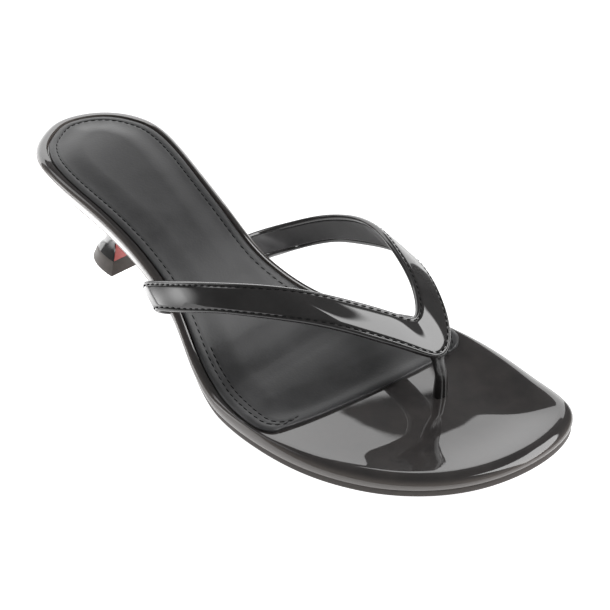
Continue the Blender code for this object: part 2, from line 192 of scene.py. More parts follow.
SOCK_SECOND_START = 0.80  # share of the sock's length where the second row starts
SOCK_RIPPLE = 0.07  # height of the slow waves of the padding
SOCK_RIPPLE_SIZE = 13.0
# how close together the waves lie, how far they wander, over what length, and their shift
SOCK_RIPPLE_ALONG = (2.1, 1.7, 9.0, 0.0)
SOCK_RIPPLE_ACROSS = (1.7, 1.3, 17.0, 0.8)
SOCK_ALONG = 300
SOCK_CORNER_STEPS = 22
SOCK_ACROSS = 110
SOCK_EDGE_ACROSS = 60  # steps across a row where only the sock's edges are wanted

# ---------------------------------------------------------------- strap
STRAP_THICKNESS = 2.2
STRAP_CROWN = 0.7  # rise of the strap's middle over its edges
CROWN_START = 0.14  # share of the strap's length over which the crown grows, from flat anchors
# rear edge x, y, z and front edge x, y, z: sections from the outer anchor over the V to the inner one
STRAP = (
    (97.0, -21.0, 27.8, 109.0, -22.5, 21.9),
    (96.6, -27.8, 28.2, 108.8, -29.8, 22.7),
    (96.1, -32.2, 31.7, 108.3, -35.8, 26.5),
    (108.2, -31.5, 37.7, 120.4, -34.1, 31.2),
    (121.6, -29.0, 42.5, 133.8, -29.9, 35.4),
    (133.6, -24.1, 45.2, 145.0, -24.8, 37.0),
    (144.3, -16.8, 45.8, 155.4, -18.2, 37.0),
    (153.5, -7.9, 43.9, 164.6, -11.7, 36.2),
    (162.0, 1.0, 40.4, 173.0, -5.0, 34.1),
    (171.2, 9.9, 36.3, 181.6, 2.4, 30.6),
    (177.6, 15.5, 33.3, 189.7, 10.3, 26.3),
    (180.2, 18.7, 31.7, 194.7, 19.2, 22.1),
    (179.3, 22.4, 31.9, 191.6, 27.1, 24.1),
    (169.0, 31.1, 35.3, 179.8, 36.4, 29.3),
    (152.0, 39.5, 38.7, 163.7, 44.4, 32.1),
    (139.3, 44.9, 39.2, 150.4, 47.8, 31.3),
    (128.0, 47.7, 37.8, 138.3, 49.7, 28.1),
    (118.0, 47.5, 35.3, 124.5, 50.9, 23.4),
    (108.5, 43.7, 32.3, 111.8, 49.1, 19.5),
    (100.9, 34.9, 30.0, 103.6, 40.0, 17.2),
    (96.3, 25.4, 29.2, 103.3, 30.4, 18.7),
    (94.6, 18.4, 28.9, 105.9, 21.0, 22.4),
    (94.5, 13.8, 29.0, 106.5, 14.8, 23.4),
    (94.7, 7.0, 29.0, 106.7, 7.0, 23.4),
)
FOLD_ROUND = 1.1  # radius of the folded edges
STRAP_SEAM = 1.7  # from an edge to its row of stitches
STRAP_SEAM_DEPTH = 0.24
STRAP_SEAM_WIDTH = 0.42
STRAP_ALONG = 330
# distances from an edge at which a section of the strap has points
STRAP_EDGE_POINTS = (0.0, 0.04, 0.12, 0.25, 0.45, 0.7, 1.0, 1.25, 1.5, 1.7, 1.9, 2.15, 2.5, 3.0)
STRAP_MIDDLE_POINTS = 12
LINING_MARGIN = 1.9  # from the strap's edge to its lining
LINING_HEM = 0.2  # half the width over which the strap's inner face sinks for the lining
LINING_THICKNESS = 0.3
LINING_PROUD = 0.06
LINING_EDGE = 0.35  # width of its rounded edge
LINING_TUCK = 0.05  # how far its back lies inside the strap
LINING_ACROSS = 26
CREASE_DEPTH = 0.1
# share of the strap's length, width and strength: where the band twists towards its tip
CREASE_PLACES = (
    (0.60, 0.10, 1.0),
    (0.36, 0.07, 0.6),
)
# waves along the strap, how far they wander, waves of that across and along, strength
CREASE_WAVES = (
    (260.0, 2.2, 5.0, 31.0, 0.6),
    (431.0, 1.3, 9.0, 0.0, 0.4),
)

# ---------------------------------------------------------------- toe post
POST_X, POST_Y = 194.5, 19.8
POST_DEPTH = 2.0  # how far it is set into the insole
POST_TOP = 20.4
POST_SLOPE = 0.66  # its top follows the underside of the strap
POST_OVERLAP = 2.0  # how far the tab reaches into the strap
# share of its height, half length, half width: a rolled leather tab, pinched in the middle
POST = (
    (0.0, 2.4, 2.9),
    (0.2, 2.3, 2.8),
    (0.55, 2.0, 2.5),
    (0.85, 2.1, 2.6),
    (1.0, 2.4, 2.9),
)
POST_SPREAD = 0.35  # share by which it widens into the strap's tip
POST_SPREAD_START = 0.72  # share of its height
POST_LEAN = 3.0
POST_LEAN_START = 0.45
POST_SEAM = 0.16  # how far the rolled tab's edges turn in, as a share
POST_SEAM_WIDTH = 0.16
POST_SEAM_ANGLE = -0.4
POST_POINTS = 40
POST_STEPS = 40

# ---------------------------------------------------------------- heel
TIP_HEIGHT = 4.4
# height, breast x, half width, depth back from the breast
HEEL = (
    (0.0, 43.1, 13.1, 23.9),
    (4.7, 40.1, 9.3, 18.5),
    (8.5, 37.6, 6.2, 12.4),
    (13.0, 35.7, 4.2, 8.5),
    (19.0, 34.8, 3.3, 7.2),
    (26.0, 35.4, 3.5, 7.2),
    (32.0, 36.6, 4.2, 7.9),
    (37.0, 38.2, 8.0, 14.0),
    (42.0, 40.5, 16.0, 32.0),
)
HEEL_SQUARENESS = 0.86  # 1 is a half ellipse, less is boxier
HEEL_START, HEEL_END = 4.7, 39.0  # lowest and highest level of HEEL that the cover follows
HEEL_SEAT = 41.5  # the row of HEEL that the top, shaped to the tread, is taken from
HEEL_JOINT = 0.02  # between the cover and the base band
HEEL_ARRIS = 0.25  # how far the cover's lower edge turns in
HEEL_STEPS = 70
HEEL_ROUND = 22
HEEL_ACROSS = 9  # points across the heel inside its lips
BREAST_EDGE = 0.97  # share of the half width that those points reach, less the lip's
BREAST_THICKNESS = 0.7
BREAST_LIP = 0.35  # black cover that shows beside the breast panel
BREAST_BED = 0.1  # how much deeper than the panel its recess is
PANEL_GAP = 0.12  # between the coral panel and the black cover's lip, and its bevel
PANEL_ACROSS = 15
TIP_CHAMFER = 0.4
TIP_FOOT = (0.12, 0.15)  # height and inset of a point half way up the chamfer
TIP_JOINT = 0.25  # how far below the base band's top its edge turns in
TIP_TOP = (0.06, 0.22)  # how far below the cover the band stops, and how far it turns in there
TIP_STEPS = 6

# ---------------------------------------------------------------- stitches
STRAP_STITCH = (2.75, 1.9, 0.62)  # pitch, length and thread
SOCK_STITCH = (2.9, 2.1, 0.42)
STITCH_SLANT = 7.0  # degrees that a lock stitch leans off its seam
STITCH_UNEVEN = (0.6, 1.4)  # least and most share of that slant
STITCH_PROUD = 0.06  # from the bottom of the groove to the middle of the thread
STITCH_START = 0.012  # share of the strap's length left bare at each end
STITCH_SEED = 5

# ---------------------------------------------------------------- finishes
MOTTLE = (0.3, 0.7)  # the values of a noise between which a finish goes from one shade to the other
PAINTED_REFLECTION_FACING = (0.5, 0.96)  # upward part of the normal where the painted reflection of the floor is full, and where there is none

# ---------------------------------------------------------------- studio
FLOOR_RADIUS = 0.38
FLOOR_MIDDLE = (-0.07, 0.07, 0.0)
FLOOR_GLOW = 1.05  # the floor is a light table
HOT_SPOT = 4.0  # extra glow of the light table beside the heel
HOT_SPOT_PLACE = (-0.06, -0.155, 0.0)  # from the middle of the floor
HOT_SPOT_REACH = (0.03, 0.11)  # radius of its full glow, and radius where it ends
ROOM_LIGHT = 0.16
AWAY_FROM_CAMERA = 133.8  # degrees round from +X
# Each light: strength, from and to in degrees round from straight ahead, from and to in degrees above
# the floor, how far its lower and its upper edge lean a degree round, and how soft its edges are.
BACK_CARD = (2.6, -27.0, 64.0, -10.0, 37.7, 0.0, 0.0, 0.5)
SIDE_WINDOW = (6.2, -115.0, -46.0, 71.8, 42.8, 0.51, -0.27, 1.5)
SIDE_GLOW = (7.0, 83.0, 103.0, -20.0, 4.0, 0.0, 0.0, 12.0)
HIGH_GLOW = (2.6, 62.0, 96.0, 40.0, 62.0, 0.0, 0.0, 8.0)
CAMERA_PLACE = (0.2744, -0.23617, 0.2674)
CAMERA_AIM = (0.01108, 0.00945, 0.015)
CAMERA_ROLL = -1.5535  # degrees
CAMERA_LENS = 68.6  # millimetres
CAMERA_FILM = 36.0  # its width, in millimetres


# ================================================================ curves
def smoothstep(value, start, end):
    """0 up to start, 1 from end on, and an S curve between them."""
    t = min(max((value - start) / (end - start), 0.0), 1.0)
    return t * t * (3 - 2 * t)


def spline(knots, values, closed=False):
    """A cubic spline through values at knots: natural at its ends, or periodic when closed."""
    knots, values = np.asarray(knots, float), np.asarray(values, float)
    step = np.diff(knots)
    slope = (np.diff(values, axis=0).T / step).T
    count = len(step)
    size = count if closed else count + 1
    system, right = np.eye(size), np.zeros((size, *values.shape[1:]))
    for i in range(0 if closed else 1, count):
        before, after = step[i - 1], step[i]
        system[i, i] = 2 * (before + after)
        system[i, i - 1] = before
        system[i, (i + 1) % size] = after
        right[i] = 6 * (slope[i] - slope[i - 1])
    bend = np.linalg.solve(system, right)
    if closed:
        bend = np.concatenate([bend, bend[:1]])

    def at(where):
        if closed:
            where = knots[0] + (where - knots[0]) % (knots[-1] - knots[0])
        i = int(np.clip(np.searchsorted(knots, where) - 1, 0, count - 1))
        b = (where - knots[i]) / step[i]
        a = 1 - b
        curve = ((a**3 - a) * bend[i] + (b**3 - b) * bend[i + 1]) * step[i] ** 2 / 6
        return a * values[i] + b * values[i + 1] + curve

    return at


def profile(table, column=1):
    """A curve through a table's rows that never overshoots them, so that a flat stays flat."""
    knots = np.array([row[0] for row in table])
    values = np.array([row[column] for row in table])
    step = np.diff(knots)
    slope = np.diff(values) / step
    rate = np.zeros(len(knots))
    rate[0], rate[-1] = slope[0], slope[-1]
    for i in range(1, len(slope)):
        if slope[i - 1] * slope[i] > 0:
            before, after = 2 * step[i] + step[i - 1], step[i] + 2 * step[i - 1]
            rate[i] = (before + after) / (before / slope[i - 1] + after / slope[i])

    def at(x):
        x = min(max(x, knots[0]), knots[-1])
        i = int(np.clip(np.searchsorted(knots, x) - 1, 0, len(step) - 1))
        t = (x - knots[i]) / step[i]
        start = (1 + 2 * t) * (1 - t) ** 2 * values[i] + t * (1 - t) ** 2 * step[i] * rate[i]
        end = t * t * (3 - 2 * t) * values[i + 1] + t * t * (t - 1) * step[i] * rate[i + 1]
        return start + end

    return at


def share_of(x):
    """Where x lies between heel and toe, 0 to 1, stretched at both ends so that they come out round."""
    return math.acos(1 - 2 * x / LENGTH) / math.pi


def x_of(share):
    return LENGTH * (1 - math.cos(math.pi * share)) / 2


# The footprint as one closed curve: up the inner side from share 0 to 1, back down the outer side to 2.
INNER_SIDE = [(share_of(x), inner) for x, inner, _ in FOOTPRINT]
OUTER_SIDE = [(2 - share_of(x), outer) for x, _, outer in reversed(FOOTPRINT[:-1])]
outline_y = spline(*zip(*(INNER_SIDE + OUTER_SIDE)), closed=True)
tread = profile(TREAD)
sole_thickness = profile(SOLE_THICKNESS)
roll_width, ledge_width, seat_depth, cup_depth = (profile(RIM, column) for column in (1, 2, 3, 4))
upper_undercut, lower_undercut = (profile(UNDERCUT, column) for column in (1, 2))


def footprint_edge(share, inner, inset=0.0):
    """The point of the footprint's edge at a share of its length, moved in by inset."""
    turn = share if inner else 2 - share
    nudge = 1e-4
    x, y = x_of(share), outline_y(turn)
    ahead = np.array([x_of(turn + nudge), outline_y(turn + nudge)])
    behind = np.array([x_of(turn - nudge), outline_y(turn - nudge)])
    along = (ahead - behind) / np.linalg.norm(ahead - behind)
    return np.array([x + along[1] * inset, y - along[0] * inset])


def sole_top(x):
    return tread(x) + sole_thickness(x)


def ledge_end(x):
    """How far inside the footprint the flat ledge stops and the slope to the sock's seat starts."""
    return roll_width(x) + ledge_width(x)


def seat_edge(x):
    return ledge_end(x) + SEAT_STEP


def nearest(points):
    """A function that gives the distance on plan to the nearest of the points."""
    tree = KDTree(len(points))
    for i, (x, y) in enumerate(points):
        tree.insert((x, y, 0.0), i)
    tree.balance()
    return lambda x, y: tree.find((x, y, 0.0))[2]


def finer(points, step=0.15):
    """The same line with points no further apart than step."""
    line = []
    for start, end in zip(points, points[1:]):
        start, end = np.array(start), np.array(end)
        count = max(1, math.ceil(np.linalg.norm(end - start) / step))
        line += [tuple(start + (end - start) * i / count) for i in range(count)]
    return [*line, tuple(points[-1])]


def toe_edge_line():
    """Points on plan along the inner line of the rolled edge, from inner ball to outer ball over the toe."""
    reach = 1 - TOE_EDGE_START
    shares = [TOE_EDGE_START + reach * i / TOE_EDGE_STEPS for i in range(TOE_EDGE_STEPS + 1)]
    inner = [footprint_edge(share, True, seat_edge(x_of(share))) for share in shares]
    outer = [footprint_edge(share, False, seat_edge(x_of(share))) for share in shares]
    return [tuple(point) for point in [*inner, *reversed(outer)]]


to_toe_edge = nearest(finer(toe_edge_line()))


def seat_height(x, y):
    """The insole's upper face where the sock lies: a shallow seat, cupped under the heel."""
    share = share_of(min(max(x, 0.5), LENGTH - 0.5))
    inner, outer = outline_y(share), outline_y(2 - share)
    off_centre = (2 * y - inner - outer) / (inner - outer)
    return sole_top(x) - seat_depth(x) - cup_depth(x) * max(0.0, 1 - off_centre**2) - toe_dish(x, y)


def toe_dish(x, y):
    """How far the insole lies below the inner line of the toe's rolled edge."""
    start = smoothstep(x, *TOE_DISH_START)
    if start == 0.0:
        return 0.0
    edge = to_toe_edge(x, y)
    left = 1 - min(edge / TOE_DISH_RUN, 1.0)
    ahead, inward = x - TOE_MIDDLE[0], y - TOE_MIDDLE[1]
    lift = TOE_TILT * inward + TOE_BENDS[0] * ahead**2 + TOE_BENDS[1] * inward**2
    dish = TOE_DISH * (1 - left * left) - lift * smoothstep(edge, 0.0, TOE_BLEND)
    return dish * start


# ================================================================ meshes
def bell(distance, width):
    """1 at distance 0, falling away over width."""
    return math.exp(-((distance / width) ** 2))


def in_frame(point):
    return Vector([MM * (float(value) - middle) for value, middle in zip(point, FRAME_MIDDLE)])


def add_vertices(bm, points):
    return [bm.verts.new(in_frame(point)) for point in points]


def add_quads(bm, first, second):
    for a, b, c, d in zip(first, first[1:], second[1:], second):
        bm.faces.new((a, b, c, d))


def add_grid(bm, rows):
    rows = [add_vertices(bm, row) for row in rows]
    for first, second in zip(rows, rows[1:]):
        add_quads(bm, first, second)


def add_side(bm, loops):
    """The wall through closed loops of points."""
    loops = [add_vertices(bm, loop) for loop in loops]
    for first, second in zip(loops, loops[1:]):
        add_quads(bm, [*first, first[0]], [*second, second[0]])


def finish_piece(name, bm, material, replaced=(), crease=38.0):
    """The mesh as a piece of the shoe that rides on its one body, in place of the solids it stands for."""
    bmesh.ops.remove_doubles(bm, verts=bm.verts, dist=WELD * MM)
    bmesh.ops.dissolve_degenerate(bm, edges=bm.edges, dist=WELD * MM)
    bmesh.ops.recalc_face_normals(bm, faces=bm.faces)
    mesh = bpy.data.meshes.new(name)
    bm.to_mesh(mesh)
    bm.free()
    mesh.shade_smooth()
    mesh.set_sharp_from_angle(angle=math.radians(crease))
    mesh.materials.append(material)
    piece = bpy.data.objects.new(name, mesh)
    bpy.context.scene.collection.objects.link(piece)
    return dress_shoe(piece, replaced)


def dress_shoe(piece, replaced=()):
    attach(piece, "root")
    if replaced:
        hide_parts(*replaced)
    return piece


def grid_rim(grid):
    """The outer points of a grid of points, once round."""
    rows, columns = len(grid) - 1, len(grid[0]) - 1
    up = [grid[i][columns] for i in range(rows)]
    over = [grid[rows][j] for j in range(columns, 0, -1)]
    down = [grid[i][0] for i in range(rows, 0, -1)]
    back = [grid[0][j] for j in range(columns)]
    return up + over + down + back


# ================================================================ sole
def footprint_rows(inset, height, across):
    """Rows of points across the footprint from heel to toe; inset and height may vary along it."""
    rows = []
    for i in range(STATIONS + 1):
        share = i / STATIONS
        amount = inset(x_of(share))
        inner = footprint_edge(share, True, amount)
        outer = footprint_edge(share, False, amount)
        steps = [outer + (inner - outer) * j / across for j in range(across + 1)]
        rows.append([(x, y, height(x, y)) for x, y in steps])
    return rows


def footprint_loop(inset, height):
    rows = footprint_rows(inset, height, 1)
    return [row[1] for row in rows] + [row[0] for row in reversed(rows)]


def make_outsole(material):
    """The thin sole, its cut edge sanded round at the tread."""

    def inset(share, extra):
        return lambda x: upper_undercut(x) + (lower_undercut(x) - upper_undercut(x)) * share + extra

    def height(rise):
        return lambda x, y: tread(x) + rise

    top = OUTSOLE_THICKNESS + SOLE_JOINT
    edge = [*SOLE_FOOT, *[(share, extra, top - below) for share, extra, below in SOLE_HEAD]]
    bm = bmesh.new()
    add_side(bm, [footprint_loop(inset(share, extra), height(rise)) for share, extra, rise in edge])
    for share, extra, rise in (edge[0], edge[-1]):
        add_grid(bm, footprint_rows(inset(share, extra), height(rise), ACROSS))
    return finish_piece("leather_outsole", bm, material, ["outsole"])


def make_platform(material):
    """The insole board in its patent cover, turned over a rolled edge all round."""
    under = OUTSOLE_THICKNESS + SOLE_JOINT
    undercut_left = profile(WALL)
    loops = []
    for i in range(WALL_STEPS):
        rise = (i / WALL_STEPS) ** WALL_CROWDING
        share = undercut_left(rise)

        def height(x, y, rise=rise):
            low = tread(x) + under
            return low + (sole_top(x) - ROLL_HEIGHT - low) * rise

        loops.append(footprint_loop(lambda x, share=share: upper_undercut(x) * share, height))
    for i in range(ROLL_STEPS + 1):
        angle = math.pi / 2 * i / ROLL_STEPS

        def inset(x, angle=angle):
            return roll_width(x) * (1 - math.cos(angle))

        def height(x, y, angle=angle):
            return sole_top(x) - ROLL_HEIGHT * (1 - math.sin(angle))

        loops.append(footprint_loop(inset, height))
    loops.append(footprint_loop(ledge_end, lambda x, y: sole_top(x)))
    loops.append(footprint_loop(seat_edge, seat_height))
    bm = bmesh.new()
    add_side(bm, loops)
    add_grid(bm, footprint_rows(seat_edge, seat_height, 3 * ACROSS))
    add_grid(bm, footprint_rows(upper_undercut, lambda x, y: tread(x) + under, ACROSS))
    return finish_piece("patent_platform", bm, material, ["insole_platform"])


# ================================================================ sock
def sock_edge(share, turned, inner, extra=0.0):
    """A point of the sock's side edge; at the front corners it turns in on an elliptic arc."""
    along = share * share_of(SOCK_END_INNER if inner else SOCK_END_OUTER)
    side_inset = seat_edge(x_of(along)) + SOCK_MARGIN
    return footprint_edge(along, inner, side_inset + extra + turned * SOCK_CORNERS[0 if inner else 1])


def sock_rows():
    """Shares of the sock's length and how far the corners have turned there."""
    rows = [(SOCK_CORNER_START * i / SOCK_ALONG, 0.0) for i in range(SOCK_ALONG)]
    for i in range(SOCK_CORNER_STEPS + 1):
        angle = math.pi / 2 * i / SOCK_CORNER_STEPS
        rows.append((SOCK_CORNER_START + (1 - SOCK_CORNER_START) * math.sin(angle), 1 - math.cos(angle)))
    return rows


def sock_row(share, turned, across):
    """Points on plan from the sock's outer edge to its inner one."""
    inner, outer = sock_edge(share, turned, True), sock_edge(share, turned, False)
    bow = SOCK_BOW * share**SOCK_BOW_POWER
    row = []
    for j in range(across + 1):
        t = j / across
        x, y = outer + (inner - outer) * t
        row.append((x + bow * 4 * t * (1 - t), y))
    return row


def sock_seam_line(extra, start_share, side=None):
    """A seam on plan inside the sock's edge: round the heel, or along one side's front corner."""
    rows = [row for row in sock_rows() if row[0] >= start_share]

    def line(inner):
        return [tuple(sock_edge(share, turned * SOCK_SEAM_TURN, inner, extra)) for share, turned in rows]

    if side is not None:
        return line(side)
    return [*reversed(line(False)), *line(True)]


def wave(along, across, closeness, wander, length, shift):
    """A slow wave from -1 to 1 whose crests wander from side to side."""
    return math.sin(along / SOCK_RIPPLE_SIZE * closeness + shift + wander * math.sin(across / length))


class SockShape:
    """The padded lining's upper face: a flat stitched margin round a raised middle."""

    def __init__(self):
        grid = [sock_row(share, turned, SOCK_EDGE_ACROSS) for share, turned in sock_rows()]
        sides = [row[0] for row in reversed(grid)] + [row[-1] for row in grid]
        self.to_side = nearest(finer(sides))
        self.to_front = nearest(finer(grid[-1]))
        seams = [sock_seam_line(SOCK_SEAM, 0.0)]
        for inner in (True, False):
            seams.append(sock_seam_line(SOCK_SEAM + SOCK_SECOND_SEAM, SOCK_SECOND_START, inner))
        self.seams = seams
        self.to_seam = nearest([point for seam in seams for point in finer(seam)])

    def rise(self, x, y):
        """Height of the face over the seat."""
        side, front = self.to_side(x, y), self.to_front(x, y)
        edge = min(side, front)
        skive = SOCK_EDGE + (SOCK_FACE - SOCK_EDGE) * math.sqrt(1 - (1 - min(edge / SOCK_SKIVE, 1.0)) ** 2)
        padding = smoothstep(side, SOCK_SEAM, SOCK_SEAM + SOCK_PAD_RUN)
        padding *= smoothstep(front, SOCK_FRONT_BAND, SOCK_FRONT_BAND + SOCK_PAD_RUN)
        ripple = wave(x, y, *SOCK_RIPPLE_ALONG) * wave(y, x, *SOCK_RIPPLE_ACROSS)
        seam = SOCK_SEAM_DEPTH * bell(self.to_seam(x, y), SOCK_SEAM_WIDTH)
        return skive + SOCK_PAD * padding + SOCK_RIPPLE * padding * ripple - seam

    def height(self, x, y):
        return seat_height(x, y) + SOCK_GLUE + self.rise(x, y)


def make_sock(shape, material):
    """The padded lining under the foot."""
    grid = [sock_row(share, turned, SOCK_ACROSS) for share, turned in sock_rows()]
    face = [[(x, y, shape.height(x, y)) for x, y in row] for row in grid]
    foot = [[(x, y, seat_height(x, y) + SOCK_GLUE) for x, y in row] for row in grid]
    bm = bmesh.new()
    add_grid(bm, face)
    add_side(bm, [grid_rim(foot), grid_rim(face)])
    add_grid(bm, foot)
    piece = finish_piece("padded_sock", bm, material, ["insole_sock"], crease=60.0)
    return piece


# ================================================================ strap
class StrapShape:
    """The band from anchor to anchor: its middle surface, its crown and its folded edges."""

    def __init__(self):
        table = np.array(STRAP)
        middle = (table[:, :3] + table[:, 3:]) / 2
        steps = np.sqrt(np.linalg.norm(np.diff(middle, axis=0), axis=1))
        self.knots = np.concatenate([[0], np.cumsum(steps)])
        self.band = spline(self.knots, table)
        self.end = self.knots[-1]

    def line(self, where, share):
        section = self.band(min(max(where, 0.0), self.end))
        return section[:3] + (section[3:] - section[:3]) * share

    def width(self, where):
        return float(np.linalg.norm(self.line(where, 1) - self.line(where, 0)))

    def normal(self, where, share):
        nudge = 0.02
        along = self.line(where + nudge, share) - self.line(where - nudge, share)
        across = self.line(where, 1) - self.line(where, 0)
        normal = np.cross(across, along)
        return normal / np.linalg.norm(normal)

    def crown(self, where):
        from_anchor = min(where, self.end - where) / self.end
        return STRAP_CROWN * min(1, from_anchor / CROWN_START)

    def point(self, where, share, lift):
        """A point lift millimetres out from the middle surface, and the normal there."""
        normal = self.normal(where, share)
        base = self.line(where, share) + normal * self.crown(where) * 4 * share * (1 - share)
        return base + normal * lift, normal


def section_shares(width):
    """Places across a section, close together at the folds and the seams."""
    near = [distance / width for distance in STRAP_EDGE_POINTS]
    inside = np.linspace(near[-1], 1 - near[-1], STRAP_MIDDLE_POINTS + 1)[1:-1]
    return [*near, *inside, *[1 - share for share in reversed(near)]]


def fold(distance):
    """Half thickness of the strap, as a share, at a distance from its edge."""
    left = 1 - min(distance / FOLD_ROUND, 1.0)
    return math.sqrt(max(0.0, 1 - left * left))


def make_strap(shape, material):
    """The upper: one band of patent leather, folded over at both edges."""
    half = STRAP_THICKNESS / 2
    hem_start, hem_end = LINING_MARGIN - LINING_HEM, LINING_MARGIN + LINING_HEM
    bm = bmesh.new()
    loops = []
    for i in range(STRAP_ALONG + 1):
        where = shape.end * i / STRAP_ALONG
        width = shape.width(where)
        outer, inner = [], []
        for share in section_shares(width):
            distance = min(share, 1 - share) * width
            seam = STRAP_SEAM_DEPTH * bell(distance - STRAP_SEAM, STRAP_SEAM_WIDTH)
            outer.append(shape.point(where, share, half * fold(distance) - seam)[0])
            hem = LINING_THICKNESS * smoothstep(distance, hem_start, hem_end)
            inner.append(shape.point(where, share, hem - half * fold(distance))[0])
        loops.append([*outer, *reversed(inner[1:-1])])
    add_side(bm, loops)
    for loop in (loops[0], loops[-1]):
        count = (len(loop) + 2) // 2
        outer, inner = loop[:count], [loop[0], *reversed(loop[count:]), loop[count - 1]]
        add_grid(bm, [outer, inner])
    return finish_piece("patent_strap", bm, material, ["thong_strap"])


def make_strap_lining(shape, material):
    """The strip of lining let in between the folded edges on the foot's side."""
    half = STRAP_THICKNESS / 2
    rows_face, rows_back = [], []
    for i in range(STRAP_ALONG + 1):
        where = shape.end * i / STRAP_ALONG
        width = shape.width(where)
        margin = LINING_MARGIN / width
        face, back = [], []
        for j in range(LINING_ACROSS + 1):
            t = j / LINING_ACROSS
            share = margin + (1 - 2 * margin) * t
            worn = CREASE_DEPTH * lining_crease(where / shape.end, t)
            edge = smoothstep(min(t, 1 - t) * (width - 2 * LINING_MARGIN), 0.0, LINING_EDGE)
            lift = -half + LINING_THICKNESS - (LINING_THICKNESS + LINING_PROUD) * edge + worn * edge
            face.append(shape.point(where, share, lift)[0])
            back.append(shape.point(where, share, -half + LINING_THICKNESS + LINING_TUCK)[0])
        rows_face.append(face)
        rows_back.append(back)
    bm = bmesh.new()
    add_grid(bm, rows_face)
    add_grid(bm, rows_back)
    add_side(bm, [grid_rim(rows_face), grid_rim(rows_back)])
    return finish_piece("strap_lining", bm, material, crease=70.0)


def lining_crease(along, across):
    """Fine creases across the lining, deepest where the band twists."""
    twist = sum(strength * bell(along - place, width) for place, width, strength in CREASE_PLACES)
    creases = 0.0
    for waves, wander, over, slant, strength in CREASE_WAVES:
        creases += strength * math.sin(along * waves + wander * math.sin(across * over + along * slant))
    return twist * creases


def make_toe_post(material):
    """The tab of rolled leather from the insole up into the strap's tip, where it spreads and leans back."""
    foot = sole_top(POST_X) - POST_DEPTH
    half_length, half_width = (profile(POST, column) for column in (1, 2))
    loops = []
    for i in range(POST_STEPS + 1):
        share = i / POST_STEPS
        spread = 1 + POST_SPREAD * smoothstep(share, POST_SPREAD_START, 1.0)
        back = POST_LEAN * smoothstep(share, POST_LEAN_START, 1.0)
        loop = []
        for j in range(POST_POINTS):
            angle = 2 * math.pi * j / POST_POINTS
            from_seam = math.remainder(angle - POST_SEAM_ANGLE, 2 * math.pi)
            seam = 1 - POST_SEAM * bell(from_seam, POST_SEAM_WIDTH)
            x = POST_X - back + half_length(share) * math.cos(angle) * seam
            y = POST_Y + half_width(share) * math.sin(angle) * seam * spread
            top = POST_TOP + POST_OVERLAP - POST_SLOPE * (x - POST_X)
            loop.append((x, y, foot + (top - foot) * share))
        loops.append(loop)
    bm = bmesh.new()
    add_side(bm, loops)
    half = POST_POINTS // 2
    for loop in (loops[0], loops[-1]):
        add_grid(bm, [loop[: half + 1], [loop[0], *reversed(loop[half:])]])
    return finish_piece("rolled_post", bm, material, ["toe_post"])


# ================================================================ heel
breast_x, heel_half_width, heel_depth = (profile(HEEL, column) for column in (1, 2, 3))


def heel_rows(level, height=None, recess=0.0, shrink=0.0):
    """Rows of points across the heel from its flat breast to its round back, at one level of HEEL."""
    front = breast_x(level) - shrink
    half = heel_half_width(level) - shrink
    depth = heel_depth(level) - 2 * shrink
    lip = BREAST_LIP / half
    inside = np.linspace(lip - BREAST_EDGE, BREAST_EDGE - lip, HEEL_ACROSS)
    places = (-1, lip - 1, *inside, 1 - lip, 1)
    rows = []
    for i in range(HEEL_ROUND + 1):
        angle = math.pi / 2 * i / HEEL_ROUND
        back = depth * math.sin(angle) ** HEEL_SQUARENESS
        width = half * max(0.0, math.cos(angle)) ** HEEL_SQUARENESS if i < HEEL_ROUND else 0.0
        row = []
        for j, place in enumerate(places):
            x = front - back - (recess if i == 0 and 1 < j < len(places) - 2 else 0.0)
            z = level if height is None else height(x)
            row.append((x, width * place, z))
        rows.append(row)
    return rows


def heel_levels():
    return [HEEL_START + (HEEL_END - HEEL_START) * i / HEEL_STEPS for i in range(HEEL_STEPS + 1)]


def stacked_piece(name, material, replaced, layers):
    bm = bmesh.new()
    add_grid(bm, layers[0])
    add_side(bm, [grid_rim(layer) for layer in layers])
    add_grid(bm, layers[-1])
    return finish_piece(name, bm, material, replaced)


def make_heel(cover, tip_rubber, coral):
    """The covered heel, its coral breast panel and the base band it stands on."""
    recess = BREAST_THICKNESS + BREAST_BED
    layers = [heel_rows(HEEL_START, recess=recess, shrink=HEEL_ARRIS)]
    layers += [heel_rows(level + HEEL_JOINT, recess=recess) for level in heel_levels()]
    layers.append(heel_rows(HEEL_SEAT, tread, recess))
    stacked_piece("covered_heel", cover, ["heel_block"], layers)

    foot, foot_inset = TIP_FOOT
    tip = [heel_rows(0.0, shrink=TIP_CHAMFER), heel_rows(foot, shrink=foot_inset), heel_rows(TIP_CHAMFER)]
    rise = (TIP_HEIGHT - TIP_JOINT - TIP_CHAMFER) / TIP_STEPS
    tip += [heel_rows(TIP_CHAMFER + rise * i) for i in range(1, TIP_STEPS + 1)]
    below, top_inset = TIP_TOP
    tip.append(heel_rows(HEEL_START - below, shrink=top_inset))
    stacked_piece("heel_base_band", tip_rubber, ["heel_tip"], tip)

    def panel_rows(level, height=None):
        half = heel_half_width(level) - BREAST_LIP - PANEL_GAP
        rows = []
        for depth, side in ((0.0, half - PANEL_GAP), (BREAST_THICKNESS, half)):
            x = breast_x(level) - depth
            z = level if height is None else height(x)
            rows.append([(x, side * place, z) for place in np.linspace(-1, 1, PANEL_ACROSS)])
        return rows

    panel = [panel_rows(level) for level in heel_levels()]
    panel.append(panel_rows(HEEL_SEAT, tread))
    stacked_piece("coral_breast", coral, ["heel_breast"], panel)


